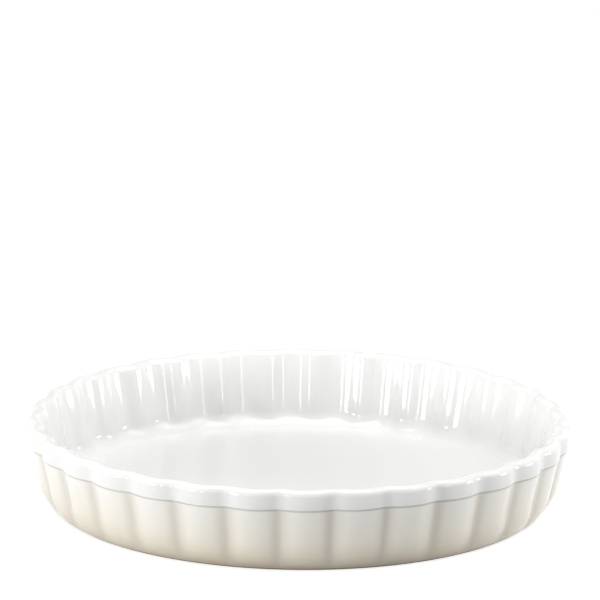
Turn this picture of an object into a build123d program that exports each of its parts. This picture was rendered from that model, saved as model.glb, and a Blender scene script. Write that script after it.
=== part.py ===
# A fluted quiche dish: one fired stoneware body with a white inside, and a thin cream glaze
# coat on the outside of its wall. Lengths are in millimetres and angles in degrees.
# The origin is the centre of the foot ring's resting plane, and +Z points up.
import os
from math import cos, radians, sin, tan

from build123d import *

os.makedirs("parts", exist_ok=True)

# Whole dish
rim_diameter = 280.0  # across two opposite flute crowns of the rim band
height = 44.5

# Flutes, as deep in the wall's inside as outside
flute_count = 32
flute_depth = 2.4  # from a crown in to the groove beside it
first_crown_angle = 90.0  # one crown looks along +Y, and the one across from it along -Y
channel_share = 0.58  # of a flute inside is a hollow channel, and the rest is a rounded ridge

# Straight rows that make up each round along the flutes
outside_rows = 3
inside_rows = 2

# Rim band, the white collar round the top
band_height = 10.0
band_bevel = 0.5  # along its lower edge
ledge_width = 0.7  # how far the band stands out over the glazed wall
rim_width = 7.0  # across the top of the wall
rim_outer_round = 3.5
rim_inner_round = 2.8

# Wall
wall_draft = 12.7  # lean from upright, inside and outside alike
wall_foot_height = 15.6  # where the straight wall starts to turn in to the foot

# Foot and floor
foot_set_in = 9.6  # from the foot of the straight wall in to the resting ring's edge
foot_width = 4.5
recess_depth = 1.2  # how far the underside lies above the resting plane
floor_thickness = 5.0
floor_round = 10.0  # between the floor and a channel of the wall

# Outer glaze coat, which ends on the last row of the foot's round
glaze_thickness = 0.4

# Sizes that follow
half_pitch = 180 / flute_count
lean = tan(radians(wall_draft))
wall_down = Vector(-sin(radians(wall_draft)), -cos(radians(wall_draft)))
rim_radius = rim_diameter / 2
ledge_height = height - band_height
glazed_radius = rim_radius - ledge_width
clay_radius = glazed_radius - glaze_thickness / cos(radians(wall_draft))
wall_foot_radius = clay_radius - (ledge_height - wall_foot_height) * lean
foot_radius = wall_foot_radius - foot_set_in
recess_radius = foot_radius - foot_width
floor_height = recess_depth + floor_thickness
inside_radius = rim_radius - rim_width
inside_height = height - rim_inner_round
inside_foot_radius = inside_radius - (inside_height - floor_height) * lean
floor_radius = inside_foot_radius - floor_round * tan(radians(90 - wall_draft) / 2)


def spot(radius, angle):
    """Point at a radius and an angle round the dish's axis."""
    return Vector(radius * cos(radians(angle)), radius * sin(radians(angle)))


def outside_outline(level, radius, fall):
    """Closed line at one level: an arc over each crown, with its ends let in by the fall."""
    arcs = []
    for copy in range(flute_count):
        crown = first_crown_angle + 2 * copy * half_pitch
        start = spot(radius - fall, crown - half_pitch)
        end = spot(radius - fall, crown + half_pitch)
        arcs.append(ThreePointArc(start, spot(radius, crown), end))
    return Pos(0, 0, level) * Wire(arcs)


def inside_outline(level, radius, fall):
    """Closed line at one level: a hollow arc in each channel and a round arc on each ridge."""
    bend = channel_share * half_pitch
    bend_radius = radius - fall * channel_share
    arcs = []
    for copy in range(flute_count):
        crown = first_crown_angle + 2 * copy * half_pitch
        start = spot(bend_radius, crown - bend)
        middle = spot(bend_radius, crown + bend)
        end = spot(bend_radius, crown + 2 * half_pitch - bend)
        arcs.append(ThreePointArc(start, spot(radius, crown), middle))
        arcs.append(ThreePointArc(middle, spot(radius - fall, crown + half_pitch), end))
    return Pos(0, 0, level) * Wire(arcs)


def fluted_solid(outline, rows):
    """Solid through the outlines of its rows, each of which is a level, a radius and a fall."""
    return Solid.make_loft([outline(*row) for row in sorted(rows)], ruled=True)


def turn_rows(turn, row_count, start_fall, end_fall):
    """Rows along a round, drawn as radius and height, while the fall changes evenly."""
    rows = []
    for step in range(row_count + 1):
        share = step / row_count
        point = turn @ share
        rows.append((point.Y, point.X, start_fall + share * (end_fall - start_fall)))
    return rows


# Outside: the wall's flutes run out on the way round to the foot ring, which is a plain circle.
foot_turn = TangentArc((wall_foot_radius, wall_foot_height), (foot_radius, 0), tangent=wall_down)
foot_rows = turn_rows(foot_turn, outside_rows, flute_depth, 0)
clay_top_row = (ledge_height, clay_radius, flute_depth)
wall_drum = fluted_solid(outside_outline, [clay_top_row] + foot_rows)

rim_outer_turn = TangentArc(
    (rim_radius, height - rim_outer_round),
    (rim_radius - rim_outer_round, height),
    tangent=(0, 1),
)
band_foot_rows = [
    (ledge_height, rim_radius - band_bevel, flute_depth),
    (ledge_height + band_bevel, rim_radius, flute_depth),
]
band_round_rows = turn_rows(rim_outer_turn, outside_rows, flute_depth, flute_depth)
band_drum = fluted_solid(outside_outline, band_foot_rows + band_round_rows)

# Inside: the channels run out on the round to the flat floor.
floor_set_in = inside_foot_radius - floor_radius
floor_turn = TangentArc(
    (floor_radius, floor_height),
    Vector(inside_foot_radius, floor_height) - wall_down * floor_set_in,
    tangent=(1, 0),
)
rim_inner_turn = TangentArc(
    (inside_radius, inside_height),
    (inside_radius + rim_inner_round, height),
    tangent=(0, 1),
)
floor_rows = turn_rows(floor_turn, inside_rows, 0, flute_depth)
mouth_rows = turn_rows(rim_inner_turn, inside_rows, flute_depth, flute_depth)
hollow = fluted_solid(inside_outline, floor_rows + mouth_rows)

# Underside: the recess leaves the foot ring standing.
recess = Cylinder(recess_radius, recess_depth, align=(Align.CENTER, Align.CENTER, Align.MIN))

# The coat lies on the clay wall, and each of its rows stands out by the same thickness.
glaze_rows = [(ledge_height, glazed_radius, flute_depth)]
for step, (level, radius, fall) in enumerate(foot_rows[:-1]):
    steepness = abs((foot_turn % (step / outside_rows)).Y)
    glaze_rows.append((level, radius + glaze_thickness / steepness, fall))

pieces = {
    "dish_body": wall_drum + band_drum - hollow - recess,
    "outer_glaze": fluted_solid(outside_outline, glaze_rows) - wall_drum,
}

for name, piece in pieces.items():
    export_step(piece, f"parts/{name}.step")
    print(name, "volume", round(piece.volume), "faces", len(piece.faces()))
print("foot ring radii", round(recess_radius, 2), round(foot_radius, 2))
print("floor height", round(floor_height, 2), "flat floor radius", round(floor_radius, 2))
print("inside foot radius", round(inside_foot_radius, 2), "floor round top", round(floor_rows[-1][0], 2))
print("bare foot below", round(glaze_rows[-1][0], 2))
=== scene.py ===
# %% [markdown]
# A fluted quiche dish in glazed stoneware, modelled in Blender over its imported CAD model.
# The real dish is one fired piece: white glaze inside and over the rim band, and a second,
# cream glaze on the outside of the wall. This lesson draws its section, turns one flute of it
# on the wheel, presses the grooves in, and repeats that flute round the axis.

# %% The frame and the helpers of Blender
from math import acos, asin, atan2, cos, degrees, hypot, pi, radians, sin, tan

import bmesh
import bpy
from mathutils import Matrix, Vector


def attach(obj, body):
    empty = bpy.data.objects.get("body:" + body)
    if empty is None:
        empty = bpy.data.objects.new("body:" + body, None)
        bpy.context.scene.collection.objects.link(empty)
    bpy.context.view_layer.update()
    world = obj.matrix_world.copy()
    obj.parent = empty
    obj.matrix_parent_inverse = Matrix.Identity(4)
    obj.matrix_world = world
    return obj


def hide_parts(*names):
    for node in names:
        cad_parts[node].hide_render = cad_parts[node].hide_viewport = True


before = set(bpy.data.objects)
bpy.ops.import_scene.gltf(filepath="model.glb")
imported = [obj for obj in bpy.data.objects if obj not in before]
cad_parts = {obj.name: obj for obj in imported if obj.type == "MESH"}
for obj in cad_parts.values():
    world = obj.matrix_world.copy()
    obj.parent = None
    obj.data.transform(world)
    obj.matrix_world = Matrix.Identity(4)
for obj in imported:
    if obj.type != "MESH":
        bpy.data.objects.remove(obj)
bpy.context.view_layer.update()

# %% [markdown]
# The sizes are the dish's own, in millimetres, as a maker would note them beside the mould. The
# wall leans out from the foot, and turns in to the resting ring along one large round.

# %% Sizes
MM = 0.001
FLUTES, FLUTE_DEPTH = 32, 2.4
PITCH = 2 * pi / FLUTES
FRONT = -pi / 2  # one crown looks along -Y
RIM_R, HEIGHT = 140.0, 44.5
LEDGE_Z = 34.5  # the lower edge of the rim band
GLAZED_R, CLAY_R = 139.3, 138.89  # the coat and the clay under it, at the ledge
DRAFT = radians(12.7)  # the lean of the wall
LEAN = tan(DRAFT)
WALL_FOOT_Z = 15.6  # here the wall starts to turn in
FOOT_SET_IN, FOOT_WIDTH = 9.6, 4.5
RECESS_Z, FLOOR_Z = 1.2, 6.2
INSIDE_R, INSIDE_TOP_Z = 133.0, 41.7
FLOOR_ROUND = 10.0
wall_foot_r = CLAY_R - (LEDGE_Z - WALL_FOOT_Z) * LEAN
FOOT_R = wall_foot_r - FOOT_SET_IN
print("radii of the wall's foot and of the resting ring", round(wall_foot_r, 2), round(FOOT_R, 2))

# %% [markdown]
# A section is a chain of straight edges with its corners rounded afterwards. One vertex is
# extruded from corner to corner, as a draughtsman draws a line. It lies at the angle where the
# first groove will be, so that the turn starts there.

# %% Drawing a section
SEAM = FRONT - PITCH / 2


def place(radius, height, angle=SEAM):
    """A point of the section, in metres, at its angle round the axis."""
    return Vector((radius * cos(angle), radius * sin(angle), height)) * MM


def draw_section(name, corners, closed=False):
    """Draws the chain of edges through the corners, each of which is a radius and a height."""
    bpy.ops.object.select_all(action="DESELECT")
    bpy.ops.mesh.primitive_plane_add(size=MM, location=(0, 0, 0))
    piece = bpy.context.object
    piece.name = piece.data.name = name
    bpy.ops.object.mode_set(mode="EDIT")
    bpy.ops.mesh.select_all(action="SELECT")
    bpy.ops.mesh.merge(type="CENTER")
    here = place(*corners[0])
    bpy.ops.transform.translate(value=here)
    for corner in corners[1:]:
        there = place(*corner)
        bpy.ops.mesh.extrude_vertices_move(TRANSFORM_OT_translate={"value": there - here})
        here = there
    if closed:
        bpy.ops.mesh.select_all(action="SELECT")
        bpy.ops.mesh.edge_face_add()
        bpy.ops.mesh.delete(type="ONLY_FACE")
    return piece


# %% [markdown]
# In edit mode an operator acts on what is selected, so one helper selects vertices by a test of
# their place. Each corner of the section is then rounded with a vertex bevel, which turns one
# vertex into an arc of short edges.

# %% Selecting and rounding
def select(piece, test):
    """Selects the vertices whose radius and height pass the test, and counts them."""
    mesh = bmesh.from_edit_mesh(piece.data)
    count = 0
    for vertex in mesh.verts:
        x, y, z = vertex.co / MM
        vertex.select = bool(test(hypot(x, y), z))
        count += vertex.select
    mesh.select_flush_mode()
    bmesh.update_edit_mesh(piece.data)
    return count


def round_corner(piece, corner, length, steps):
    """Rounds one corner of the section from a length before it to a length after it."""
    radius, height = corner
    found = select(piece, lambda r, z: abs(r - radius) < 0.01 and abs(z - height) < 0.01)
    assert found == 1, (corner, found)
    bpy.ops.mesh.bevel(
        offset_type="OFFSET",
        offset=length * MM,
        segments=steps,
        affect="VERTICES",
        clamp_overlap=False,
    )


# %% [markdown]
# On the wheel the section would give a plain round dish. Here it is spun through one flute only,
# and then each row of points is drawn in towards the axis, most at the grooves and not at all
# at the crown. A flute's outline is close to a parabola, and the glaze rounds its end. That one
# flute is then copied round the axis, which keeps all of them alike and the mesh even. The grooves
# could also be cut out with a tool shape, but that leaves ragged faces where they run out.

# %% How a flute's outline runs
COLUMNS = 20  # columns of faces across one flute
MERGE = 0.01 * MM  # vertices closer than this are one


def press(across, soft):
    """How far in the outline lies, as a share of the flute's depth, from crown 0 to groove 1."""
    start = 1 - soft
    if across <= start:
        return across**2 / start
    run = across - start
    return (start**2 + 2 * start * (run - run**2 / (2 * soft))) / start


# %% Turning one flute and pressing it in
def spin_flute(piece):
    """Spins the section through one flute, with the crown in the middle."""
    bpy.ops.mesh.select_all(action="SELECT")
    bpy.ops.mesh.spin(steps=COLUMNS, angle=-PITCH, center=(0, 0, 0), axis=(0, 0, 1))
    bpy.ops.mesh.select_all(action="SELECT")
    bpy.ops.mesh.remove_doubles(threshold=MERGE)
    angles = [degrees(atan2(v.co.y, v.co.x)) for v in bmesh.from_edit_mesh(piece.data).verts]
    print(piece.name, "flute from", round(min(angles), 2), "to", round(max(angles), 2), "degrees")


def press_flute(piece, share, softness):
    """Draws each row in towards the axis by its share of the depth."""
    mesh = bmesh.from_edit_mesh(piece.data)
    rows = {}
    for vertex in mesh.verts:
        x, y, z = vertex.co / MM
        rows.setdefault((round(hypot(x, y), 3), round(z, 3)), []).append(vertex)
    for (radius, height), row in rows.items():
        depth = FLUTE_DEPTH * share(radius, height)
        if depth == 0:
            continue
        soft = softness(radius, height)
        for step in range(1, COLUMNS // 2 + 1):
            across = step / (COLUMNS / 2)
            for other in mesh.verts:
                other.select = False
            for vertex in row:
                off = (atan2(vertex.co.y, vertex.co.x) - FRONT) / (PITCH / 2)
                vertex.select = abs(abs(off) - across) < 0.01
            size = 1 - depth * press(across, soft) / radius
            bpy.ops.transform.resize(value=(size, size, 1), center_override=(0, 0, 0))


# %% Repeating the flute and finishing the piece
def repeat_flute(piece):
    """Copies the flute round the axis and joins the copies at their grooves."""
    copies = FLUTES - 1
    bpy.ops.mesh.select_all(action="SELECT")
    bpy.ops.mesh.spin(
        steps=copies, angle=PITCH * copies, dupli=True, center=(0, 0, 0), axis=(0, 0, 1)
    )
    bpy.ops.mesh.select_all(action="SELECT")
    bpy.ops.mesh.remove_doubles(threshold=MERGE)


def finish_piece(piece, angle):
    """Turns the faces outwards, leaves edit mode and smooths what isn't a hard edge."""
    bpy.ops.mesh.select_all(action="SELECT")
    bpy.ops.mesh.normals_make_consistent(inside=False)
    bpy.ops.object.mode_set(mode="OBJECT")
    bpy.ops.object.shade_smooth_by_angle(angle=radians(angle))
    triangles = sum(len(face.vertices) - 2 for face in piece.data.polygons)
    sides = [round(side / MM, 2) for side in piece.dimensions]
    print(piece.name, "triangles", triangles, "size in mm", sides)


# %% [markdown]
# The dish itself. Its chain runs from the middle of the floor out to the wall, up the inside,
# over the rim, down the band, under the ledge, down the clay wall and round the foot to the
# underside. Under the cream coat the clay needs no detail, because the coat hides it.

# %% The round of the foot
foot_turn = 2 * (atan2(FOOT_SET_IN, WALL_FOOT_Z) - DRAFT)
foot_round = hypot(FOOT_SET_IN, WALL_FOOT_Z) / (2 * sin(foot_turn / 2))
foot_centre_r = wall_foot_r - foot_round * cos(DRAFT)
foot_centre_z = WALL_FOOT_Z + foot_round * sin(DRAFT)


def off_centre(reach, turned):
    """A place round the centre of the foot's round, at a turn down from the wall."""
    across, down = cos(DRAFT + turned), sin(DRAFT + turned)
    return (foot_centre_r + reach * across, foot_centre_z - reach * down)


print("the foot's round in mm", round(foot_round, 2), "turns by degrees", round(degrees(foot_turn), 1))

# %% The corners of the dish's section
floor_corner = (INSIDE_R - (INSIDE_TOP_Z - FLOOR_Z) * LEAN, FLOOR_Z)
floor_turn = pi / 2 - DRAFT
floor_reach = FLOOR_ROUND * tan(floor_turn / 2)
rim_inner = (INSIDE_R + (HEIGHT - INSIDE_TOP_Z) * LEAN, HEIGHT)
rim_outer = (RIM_R, HEIGHT)
band_foot = (RIM_R, LEDGE_Z)
ledge_end = (CLAY_R, LEDGE_Z)
foot_corner = off_centre(foot_round / cos(foot_turn / 2), foot_turn / 2)
foot_outer = (FOOT_R, 0.0)
foot_inner = (FOOT_R - FOOT_WIDTH, 0.0)
recess_corner = (FOOT_R - FOOT_WIDTH, RECESS_Z)
flat_floor_r = floor_corner[0] - floor_reach
print("the flat floor's radius in mm", round(flat_floor_r, 2))

# %% [markdown]
# The long straight runs get a row or two of their own, so that their faces stay short. The middle
# of the floor and of the underside stays open for now, because points spun on the axis itself
# would leave a pinched pole there.

# %% Drawing the dish's section
MIDDLE_R = 60.0  # the floor and the underside are open inside this radius
FLOOR_ROW_R = 100.0
BAND_ROW_Z = 38.5


def down_wall(radius, top, drop):
    """A place on a leaning wall, at a drop below its top."""
    return (radius - drop * LEAN, top - drop)


white_dish = draw_section(
    "white_dish",
    [
        (MIDDLE_R, FLOOR_Z),
        (FLOOR_ROW_R, FLOOR_Z),
        floor_corner,
        down_wall(INSIDE_R, INSIDE_TOP_Z, 20),
        down_wall(INSIDE_R, INSIDE_TOP_Z, 8),
        rim_inner,
        rim_outer,
        (RIM_R, BAND_ROW_Z),
        band_foot,
        ledge_end,
        foot_corner,
        foot_outer,
        foot_inner,
        recess_corner,
        (MIDDLE_R, RECESS_Z),
    ],
)

# %% Rounding the dish's corners
FOOT_EDGE = 0.4
foot_reach = foot_round * tan(foot_turn / 2) - FOOT_EDGE - 0.1  # just short of the ring's edge
ROUNDS = [
    (floor_corner, floor_reach, 14),
    (rim_inner, 2.8, 8),
    (rim_outer, 3.6, 9),
    (band_foot, 0.6, 5),
    (foot_corner, foot_reach, 8),
    (foot_outer, FOOT_EDGE, 2),
    (foot_inner, FOOT_EDGE, 2),
]
for corner, length, steps in ROUNDS:
    round_corner(white_dish, corner, length, steps)
print("corners rounded", len(ROUNDS))

# %% [markdown]
# The grooves reach from the rim down to the floor's round and to the foot's, where they run out:
# the floor's edge and the foot ring are plain circles. Along each round the grooves lose depth
# evenly with the turn, so their share of the depth is worked out back from the height. Outside,
# the lobes meet in narrow grooves. Inside, the mould has rounded them, and each hollow channel
# passes into a ridge nearly as wide.

# %% How deep each row's grooves are
NEAR = 0.1  # rows this close together count as one


def foot_share(height):
    """1 on the wall, running out evenly round the foot to 0 at the resting ring."""
    turned = asin(min(sin(DRAFT) + max(WALL_FOOT_Z - height, 0) / foot_round, 1)) - DRAFT
    return max(1 - turned / foot_turn, 0)


def dish_share(radius, height):
    """How much of the flutes' depth a row takes, from its radius and its height."""
    on_floor_or_table = radius < flat_floor_r + NEAR or height < NEAR / 10
    in_recess = radius < recess_corner[0] + NEAR and height < (RECESS_Z + FLOOR_Z) / 2
    if on_floor_or_table or in_recess:
        return 0
    inner_wall_r = INSIDE_R - (INSIDE_TOP_Z - height) * LEAN
    if radius < inner_wall_r + 3 * NEAR and height > FLOOR_Z - NEAR:
        rise = min(max(height - FLOOR_Z, 0) / FLOOR_ROUND, 1 - cos(floor_turn))
        return acos(1 - rise) / floor_turn
    return foot_share(height)


# %% One flute of the dish, repeated
INSIDE_SOFT, BAND_SOFT = 0.42, 0.26  # the shares of half a flute that a groove's round takes
RIM_MIDDLE_R = RIM_R - 3.5  # halfway across the top of the rim


def dish_softness(radius, height):
    """Wide ridges inside, and lobes on the band whose grooves the glaze has rounded."""
    return INSIDE_SOFT if radius < RIM_MIDDLE_R else BAND_SOFT


spin_flute(white_dish)
press_flute(white_dish, dish_share, dish_softness)
repeat_flute(white_dish)

# %% [markdown]
# The floor and the underside are still open in the middle. Each rim of open edges is filled
# with one flat face.

# %% Closing the floor and the underside
SHARPEST = 40  # an edge that turns by more degrees than this stays hard
for level in (FLOOR_Z, RECESS_Z):
    select(white_dish, lambda r, z: abs(r - MIDDLE_R) < NEAR and abs(z - level) < NEAR)
    bpy.ops.mesh.edge_face_add()
finish_piece(white_dish, SHARPEST)
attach(white_dish, "root")
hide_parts("dish_body")

# %% [markdown]
# The cream coat is a skin 0.4 mm thick on the outside of the wall. It thins to nothing under the
# ledge of the band, where its material paints a fine dark line: partly where the two glazes part,
# partly painted shade under the ledge. It ends in a thin lip just above the table, where the
# potter wipes it off so that it doesn't stick to the kiln shelf. A Solidify modifier on a copy of
# the wall would give it one thickness all over, so it has a section of its own instead, a closed
# chain, in which both thin edges can be drawn.

# %% The corners of the coat's section
COAT, COAT_LIP, COAT_TOP = 0.4, 0.33, 0.1  # its thickness on the wall, at the foot and at the ledge
COAT_GAP = 0.02  # it stays this clear of the ledge and of the upper clay
COAT_SUNK = 0.05  # the lip goes this far into the clay, so that no light gets behind it
COAT_SOFT = 0.12  # its grooves are narrower than the band's
coat_shoulder = down_wall(GLAZED_R, LEDGE_Z, 0.8)
coat_top_outer = (CLAY_R + COAT_TOP, LEDGE_Z - COAT_GAP)
coat_top_inner = (CLAY_R + COAT_GAP, LEDGE_Z - COAT_GAP)
coat_turn = radians(33.5)  # how far round the foot the coat reaches
coat_round = foot_round + COAT
coat_foot_corner = off_centre(coat_round / cos(coat_turn / 2), coat_turn / 2)
coat_lip = off_centre(foot_round + COAT_LIP, coat_turn)
print("the coat's lip, radius and height in mm", [round(part, 2) for part in coat_lip])

# %% The cream coat
cream_coat = draw_section(
    "cream_coat",
    [
        coat_top_outer,
        coat_shoulder,
        down_wall(GLAZED_R, LEDGE_Z, 7),
        down_wall(GLAZED_R, LEDGE_Z, 14),
        coat_foot_corner,
        coat_lip,
        off_centre(foot_round - COAT_SUNK, coat_turn),
        (wall_foot_r + COAT_GAP, WALL_FOOT_Z),
        coat_top_inner,
    ],
    closed=True,
)
round_corner(cream_coat, coat_shoulder, COAT, 4)
coat_foot_reach = coat_round * tan(coat_turn / 2) - COAT / 2  # just short of the lip
round_corner(cream_coat, coat_foot_corner, coat_foot_reach, 12)
spin_flute(cream_coat)
press_flute(cream_coat, lambda radius, height: foot_share(height), lambda radius, height: COAT_SOFT)
repeat_flute(cream_coat)
finish_piece(cream_coat, SHARPEST)
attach(cream_coat, "root")
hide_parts("outer_glaze")

# %% [markdown]
# The camera stands where the photographer's stood: low, 16 degrees above the table, a long way
# off with a long lens, and 2 degrees to the left of the front crown. It looks down less steeply
# than it stands, so the dish sits low in the picture, and it leans over by half a degree.

# %% The camera
PICTURE, SENSOR = 600, 36  # the picture's side in pixels and the sensor's in mm
PIXELS_PER_MM = 1.9424  # at the dish
MIDDLE_Z = 20
rise, distance = radians(15.87), 3192.0
aim_down, roll = radians(14.37), radians(0.59)
side = FRONT - radians(1.82)
camera = bpy.data.objects.new("camera", bpy.data.cameras.new("camera"))
bpy.context.collection.objects.link(camera)
camera.location = place(distance * cos(rise), distance * sin(rise) + MIDDLE_Z, side)
looking = Matrix.Rotation(side + pi / 2, 3, "Z") @ Matrix.Rotation(pi / 2 - aim_down, 3, "X")
camera.rotation_euler = (looking @ Matrix.Rotation(roll, 3, "Z")).to_euler()
camera.data.sensor_width = SENSOR
camera.data.lens = PIXELS_PER_MM * distance * SENSOR / PICTURE
camera.data.clip_end = 20
bpy.context.scene.camera = camera
print("the lens in mm", round(camera.data.lens, 1))

# %% [markdown]
# Every finish is a tree of shader nodes. A few helpers keep the cells below short: one adds a
# node and fills or links its inputs, three add a sum, a smooth step or a mix of colours, and two
# start a material or a group of nodes.

# %% Helpers for finishes
def add(tree, kind, inputs, **options):
    """Adds a node, sets its options, and fills each input with a value or links it."""
    node = tree.nodes.new("ShaderNode" + kind)
    for option, value in options.items():
        setattr(node, option, value)
    for name, value in inputs.items():
        if isinstance(value, bpy.types.NodeSocket):
            tree.links.new(value, node.inputs[name])
        else:
            node.inputs[name].default_value = value
    return node


def calc(tree, operation, *numbers):
    """Adds one sum and gives back its result."""
    return add(tree, "Math", dict(enumerate(numbers)), operation=operation).outputs[0]


def span(tree, value, low, high, to_low=0.0, to_high=1.0):
    """Turns a value between low and high smoothly into one between to_low and to_high."""
    inputs = {"Value": value, "From Min": low, "From Max": high, "To Min": to_low, "To Max": to_high}
    return add(tree, "MapRange", inputs, interpolation_type="SMOOTHSTEP").outputs["Result"]


def mix(tree, share, first, second):
    """Mixes two colours by a share."""
    return add(tree, "Mix", {0: share, 6: first, 7: second}, data_type="RGBA").outputs[2]


# %% Helpers that start a material or a group
def new_finish(piece, name):
    """Gives the piece a new material, and gives back its node tree and its shader."""
    material = bpy.data.materials.new(name)
    material.use_nodes = True
    piece.data.materials.clear()
    piece.data.materials.append(material)
    return material.node_tree, material.node_tree.nodes["Principled BSDF"]


def new_group(name, inputs, outputs):
    """Starts a node group from its input names with their values, and its output names."""
    group = bpy.data.node_groups.new(name, "ShaderNodeTree")
    group.interface.new_socket("Place", in_out="INPUT", socket_type="NodeSocketVector")
    for socket, value in inputs.items():
        made = group.interface.new_socket(socket, in_out="INPUT", socket_type="NodeSocketFloat")
        made.default_value = value
    for socket in outputs:
        group.interface.new_socket(socket, in_out="OUTPUT", socket_type="NodeSocketFloat")
    return group, group.nodes.new("NodeGroupInput").outputs, group.nodes.new("NodeGroupOutput").inputs


# %% [markdown]
# A fired glaze is never quite flat. It keeps a slow waviness from the brush or the pour, a fine
# peel like an orange's, and now and then a pinhole where a bubble burst. All of that is one
# group of nodes, which both glazes use with their own amounts. Heights are in metres.

# %% The skin of a glaze
skin, given, wanted = new_group(
    "glaze_skin",
    {"Wave": 0.00004, "Peel": 0.000004, "Smoothness": 0.09},
    ["Height", "Roughness", "Cloud", "Speck"],
)
wave = add(skin, "TexNoise", {"Vector": given["Place"], "Scale": 38.0, "Detail": 1.0})
peel = add(skin, "TexNoise", {"Vector": given["Place"], "Scale": 260.0, "Detail": 2.0})
holes = add(skin, "TexVoronoi", {"Vector": given["Place"], "Scale": 75.0, "Randomness": 1.0})
hole = span(skin, holes.outputs["Distance"], 0.012, 0.03, 1.0, 0.0)
height = calc(skin, "MULTIPLY", wave.outputs[0], given["Wave"])
height = calc(skin, "MULTIPLY_ADD", peel.outputs[0], given["Peel"], height)
skin.links.new(calc(skin, "MULTIPLY_ADD", hole, -0.00006, height), wanted["Height"])
cloud = add(skin, "TexNoise", {"Vector": given["Place"], "Scale": 14.0, "Detail": 3.0})
skin.links.new(cloud.outputs[0], wanted["Cloud"])
change = calc(skin, "MULTIPLY_ADD", cloud.outputs[0], 0.06, -0.03)
skin.links.new(calc(skin, "ADD", change, given["Smoothness"]), wanted["Roughness"])
skin.links.new(hole, wanted["Speck"])
print("glaze_skin nodes", len(skin.nodes))

# %% [markdown]
# Glaze runs off an edge and pools in a hollow before it sets, so it is thinner on the crowns of
# the flutes and thicker in the grooves. On the cream glaze the grooves' darker colour is also
# painted shade. The group finds the groove from the angle round the axis: the arctangent of the
# place, counted in flutes and folded back on itself.

# %% Where the grooves are
flutes, given, wanted = new_group("flute_mask", {}, ["Groove", "Radius", "Level"])
part = add(flutes, "SeparateXYZ", {0: given["Place"]}).outputs
angle = calc(flutes, "ARCTAN2", part[1], part[0])
turns = calc(flutes, "MULTIPLY", calc(flutes, "SUBTRACT", angle, FRONT), 1 / PITCH)
flutes.links.new(calc(flutes, "MULTIPLY", calc(flutes, "PINGPONG", turns, 0.5), 2.0), wanted["Groove"])
around = add(flutes, "CombineXYZ", {0: part[0], 1: part[1]}).outputs[0]
length = add(flutes, "VectorMath", {0: around}, operation="LENGTH").outputs["Value"]
flutes.links.new(calc(flutes, "MULTIPLY", length, 1 / MM), wanted["Radius"])
flutes.links.new(calc(flutes, "MULTIPLY", part[2], 1 / MM), wanted["Level"])
print("flute_mask nodes", len(flutes.nodes))

# %% [markdown]
# The white glaze is thick, glossy and nearly pure white, a little cooler where it is thickest,
# in the wall's grooves. At the foot it is wiped away down to the stoneware, which is warm, dull
# and grainy, and the wiped edge wanders a little. The clay's dark tone is partly its own and
# partly painted shadow under the foot. That bare clay belongs to the same piece, so the material
# mixes the two by the height and the radius.

# %% Both groups in one material
def glaze_nodes(tree, wave, peel, smoothness):
    """Places both groups in a material on Object coordinates, and gives back their outputs."""
    spot = add(tree, "TexCoord", {}).outputs["Object"]
    mask = add(tree, "Group", {}, node_tree=flutes)
    tree.links.new(spot, mask.inputs["Place"])
    surface = add(tree, "Group", {}, node_tree=skin)
    tree.links.new(spot, surface.inputs["Place"])
    surface.inputs["Wave"].default_value = wave
    surface.inputs["Peel"].default_value = peel
    surface.inputs["Smoothness"].default_value = smoothness
    return spot, mask.outputs, surface.outputs


# %% The white glaze's colour
WHITE, WHITE_THICK, SPECK = (0.83, 0.83, 0.815, 1), (0.79, 0.80, 0.79, 1), (0.70, 0.66, 0.58, 1)
GLAZE_IOR = 1.52
FLOOR_ENDS = (120.0, 127.0)  # the radii between which the floor turns into the wall
tree, shader = new_finish(white_dish, "white_glaze")
spot, mask, surface = glaze_nodes(tree, 0.00005, 0.000003, 0.085)
on_wall = span(tree, mask["Radius"], *FLOOR_ENDS)
pooled = calc(tree, "MULTIPLY", calc(tree, "MULTIPLY", mask["Groove"], surface["Cloud"]), on_wall)
colour = mix(tree, pooled, WHITE, WHITE_THICK)
colour = mix(tree, calc(tree, "MULTIPLY", surface["Speck"], 0.5), colour, SPECK)
print("the white glaze's colour uses nodes", len(tree.nodes))

# %% The bare clay of the foot ring, with painted shadow
# The clay's dark tone is partly its own and partly painted shadow under the foot.
CLAY_AND_SHADOW, CLAY_DARK_AND_SHADOW = (0.36, 0.29, 0.21, 1), (0.22, 0.17, 0.12, 1)
GLAZE_ENDS = (1.7, 2.2)  # the heights between which the wiped glaze starts again
RING_STARTS = (120.3, 120.45)  # the radii between which the recess turns into the ring
GRIT = 0.00005  # metres
grain = add(tree, "TexNoise", {"Vector": spot, "Scale": 1400.0, "Detail": 3.0}).outputs[0]
wander = calc(tree, "MULTIPLY_ADD", surface["Cloud"], 1.2, mask["Level"])
low = span(tree, wander, *GLAZE_ENDS, 1.0, 0.0)
bare_clay_and_shadow = calc(tree, "MULTIPLY", low, span(tree, mask["Radius"], *RING_STARTS))
colour = mix(tree, bare_clay_and_shadow, colour, mix(tree, grain, CLAY_DARK_AND_SHADOW, CLAY_AND_SHADOW))
tree.links.new(colour, shader.inputs["Base Color"])
dull = calc(tree, "MULTIPLY_ADD", grain, 0.2, 0.6)
rough = add(tree, "Mix", {0: bare_clay_and_shadow, 2: surface["Roughness"], 3: dull}).outputs[0]
tree.links.new(rough, shader.inputs["Roughness"])
gritty = calc(tree, "MULTIPLY", calc(tree, "MULTIPLY", grain, GRIT), bare_clay_and_shadow)
bump = add(tree, "Bump", {"Height": calc(tree, "ADD", surface["Height"], gritty), "Distance": 1.0})
tree.links.new(bump.outputs[0], shader.inputs["Normal"])
shader.inputs["IOR"].default_value = GLAZE_IOR
print("white_glaze nodes", len(tree.nodes))
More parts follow.
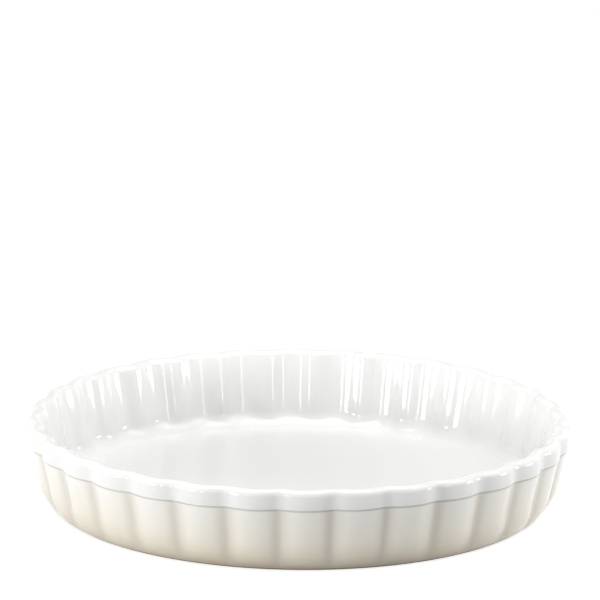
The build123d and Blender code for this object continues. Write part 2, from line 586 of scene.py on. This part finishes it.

# %% [markdown]
# The cream glaze is sprayed from below, so it is nearly white under the band and deepens to a
# warm beige towards the foot. Its lowest, darkest stops are painted shade near the table. A colour
# ramp over the height gives the fade, and the cloud of the glaze keeps it from being ruled level.
# The glaze is darker in the grooves, partly where it pools and partly as painted shade, and in
# the line under the ledge, partly where the two glazes meet and partly as painted shade.

# %% The cream glaze's fade
# The fade is the glaze's own, and its lowest, darkest stops are painted shade near the table.
CREAM_FADE_AND_SHADE = [
    (0.05, (0.56, 0.48, 0.36, 1)),
    (0.13, (0.70, 0.63, 0.50, 1)),
    (0.26, (0.785, 0.73, 0.61, 1)),
    (0.52, (0.82, 0.787, 0.70, 1)),
    (0.90, (0.845, 0.832, 0.785, 1)),
]
tree, shader = new_finish(cream_coat, "cream_glaze")
spot, mask, surface = glaze_nodes(tree, 0.00006, 0.000004, 0.1)
drift = calc(tree, "MULTIPLY_ADD", surface["Cloud"], 4.0, -2.0)
level = calc(tree, "ADD", mask["Level"], drift)
fade = add(tree, "ValToRGB", {0: calc(tree, "MULTIPLY", level, 1 / LEDGE_Z)})
stops = fade.color_ramp.elements
stops[0].position, stops[0].color = CREAM_FADE_AND_SHADE[0]
stops[1].position, stops[1].color = CREAM_FADE_AND_SHADE[-1]
for position, stop_colour in CREAM_FADE_AND_SHADE[1:-1]:
    stops.new(position).color = stop_colour
print("colours in the fade", len(stops))

# %% Where the cream glaze is darker
# Both colours are partly the glaze's own and partly painted shade.
POOLED_AND_SHADE, LEDGE_LINE_AND_SHADE = (0.60, 0.555, 0.475, 1), (0.55, 0.53, 0.49, 1)
LINE_HEIGHTS = (LEDGE_Z - 1.3, LEDGE_Z - 0.4)  # where the line starts and where it is full
# Painted shade: the grooves are darkened, partly pooled glaze and partly the shade between the lobes.
pool_and_shade = span(tree, mask["Groove"], 0.45, 1.0, 0.0, 0.55)
colour = mix(tree, pool_and_shade, fade.outputs[0], POOLED_AND_SHADE)
# Painted shade: a darker line under the ledge, partly where the two glazes meet.
line_and_shade = span(tree, mask["Level"], *LINE_HEIGHTS)
colour = mix(tree, line_and_shade, colour, LEDGE_LINE_AND_SHADE)
colour = mix(tree, calc(tree, "MULTIPLY", surface["Speck"], 0.5), colour, POOLED_AND_SHADE)
tree.links.new(colour, shader.inputs["Base Color"])
tree.links.new(surface["Roughness"], shader.inputs["Roughness"])
bump = add(tree, "Bump", {"Height": surface["Height"], "Distance": 1.0})
tree.links.new(bump.outputs[0], shader.inputs["Normal"])
shader.inputs["IOR"].default_value = GLAZE_IOR
print("cream_glaze nodes", len(tree.nodes))

# %% [markdown]
# The dish stands on a pale table that reflects half of the light, as a studio sheet does. A
# brighter table would throw so much light up at the wall, which leans over it, that the flutes
# would lose their shade. The white of the picture comes from Light Path instead: rays from the
# camera and from gloss see an added glow, and the shadow under the foot stays. The table lies a
# tenth of a millimetre low, because two faces at one height would fight for the same pixels.

# %% The table
TABLE_SIDE, TABLE_DROP = 12, 0.1 * MM
TABLE_GREY, TABLE_GLOW = (0.5, 0.5, 0.5, 1), 0.78
bpy.ops.object.select_all(action="DESELECT")
bpy.ops.mesh.primitive_plane_add(size=TABLE_SIDE, location=(0, 0, -TABLE_DROP))
table = bpy.context.object
table.name = "table"


def seen_rays(tree):
    """1 for the rays that come from the camera or from a glossy or clear surface."""
    path = add(tree, "LightPath", {}).outputs
    gloss = calc(tree, "MAXIMUM", path["Is Glossy Ray"], path["Is Transmission Ray"])
    return calc(tree, "MAXIMUM", path["Is Camera Ray"], gloss)


# %% The table's finish
tree, shader = new_finish(table, "table_white")
shader.inputs["Base Color"].default_value = TABLE_GREY
shader.inputs["Roughness"].default_value = 0.9
shader.inputs["Specular IOR Level"].default_value = 0.0
glow = add(tree, "Emission", {"Strength": TABLE_GLOW}).outputs[0]
both = add(tree, "AddShader", {0: shader.outputs[0], 1: glow}).outputs[0]
seen = add(tree, "MixShader", {0: seen_rays(tree), 1: shader.outputs[0], 2: both}).outputs[0]
tree.links.new(seen, tree.nodes["Material Output"].inputs["Surface"])
print("table nodes", len(tree.nodes))

# %% [markdown]
# Upright flutes show by light from the sides: each lobe is bright on the side that faces a lamp
# and falls off towards the camera. So the lamps are soft boxes beside the dish. Low ones light the
# outside, which leans over the table, while the rim shades much of the inside from them. High
# ones light the inside. Two narrow strips nearer the camera draw the thin bright lines along the
# ridges. The rest of the room is dim, and white where the camera or gloss sees it.

# %% Soft boxes
LAMP_REACH = 1300.0  # from the dish to each lamp


def soft_box(name, around, up, width, tall, power):
    """A soft box that faces the dish, at angles round from the front and up from the table."""
    lamp = bpy.data.objects.new(name, bpy.data.lights.new(name, "AREA"))
    bpy.context.collection.objects.link(lamp)
    lamp.data.shape = "RECTANGLE"
    lamp.data.size, lamp.data.size_y = width, tall
    lamp.data.energy = power
    reach, lift = LAMP_REACH * cos(radians(up)), LAMP_REACH * sin(radians(up))
    lamp.location = place(reach, lift + MIDDLE_Z, FRONT + radians(around))
    facing = place(0, MIDDLE_Z) - lamp.location
    lamp.rotation_euler = facing.to_track_quat("-Z", "Y").to_euler()
    print(name, "stands at", [round(part, 2) for part in lamp.location])


# %% The seven lamps
soft_box("left_low", -88, 6, 0.4, 0.2, 2.2)
soft_box("left_front", -56, 8, 0.3, 0.25, 7.9)
soft_box("left_strip", -33, 12, 0.05, 0.4, 1.1)
soft_box("right_low", 90, 7, 0.4, 0.25, 6.0)
soft_box("right_high", 75, 50, 0.8, 0.8, 4.6)
soft_box("right_strip", 33, 12, 0.05, 0.4, 0.6)
soft_box("overhead", 0, 88, 0.9, 0.9, 10.3)

# %% The room
ROOM_GREY = (0.22, 0.22, 0.22, 1)
world = bpy.data.worlds.new("studio")
bpy.context.scene.world = world
world.use_nodes = True
tree = world.node_tree
room = tree.nodes["Background"]
room.inputs["Color"].default_value = ROOM_GREY
white = add(tree, "Background", {"Color": (1, 1, 1, 1)}).outputs[0]
seen = add(tree, "MixShader", {0: seen_rays(tree), 1: room.outputs[0], 2: white}).outputs[0]
tree.links.new(seen, tree.nodes["World Output"].inputs["Surface"])
print("room nodes", len(tree.nodes))

# %% [markdown]
# The Standard view shows each colour as it was written.

# %% The view
bpy.context.scene.view_settings.view_transform = "Standard"
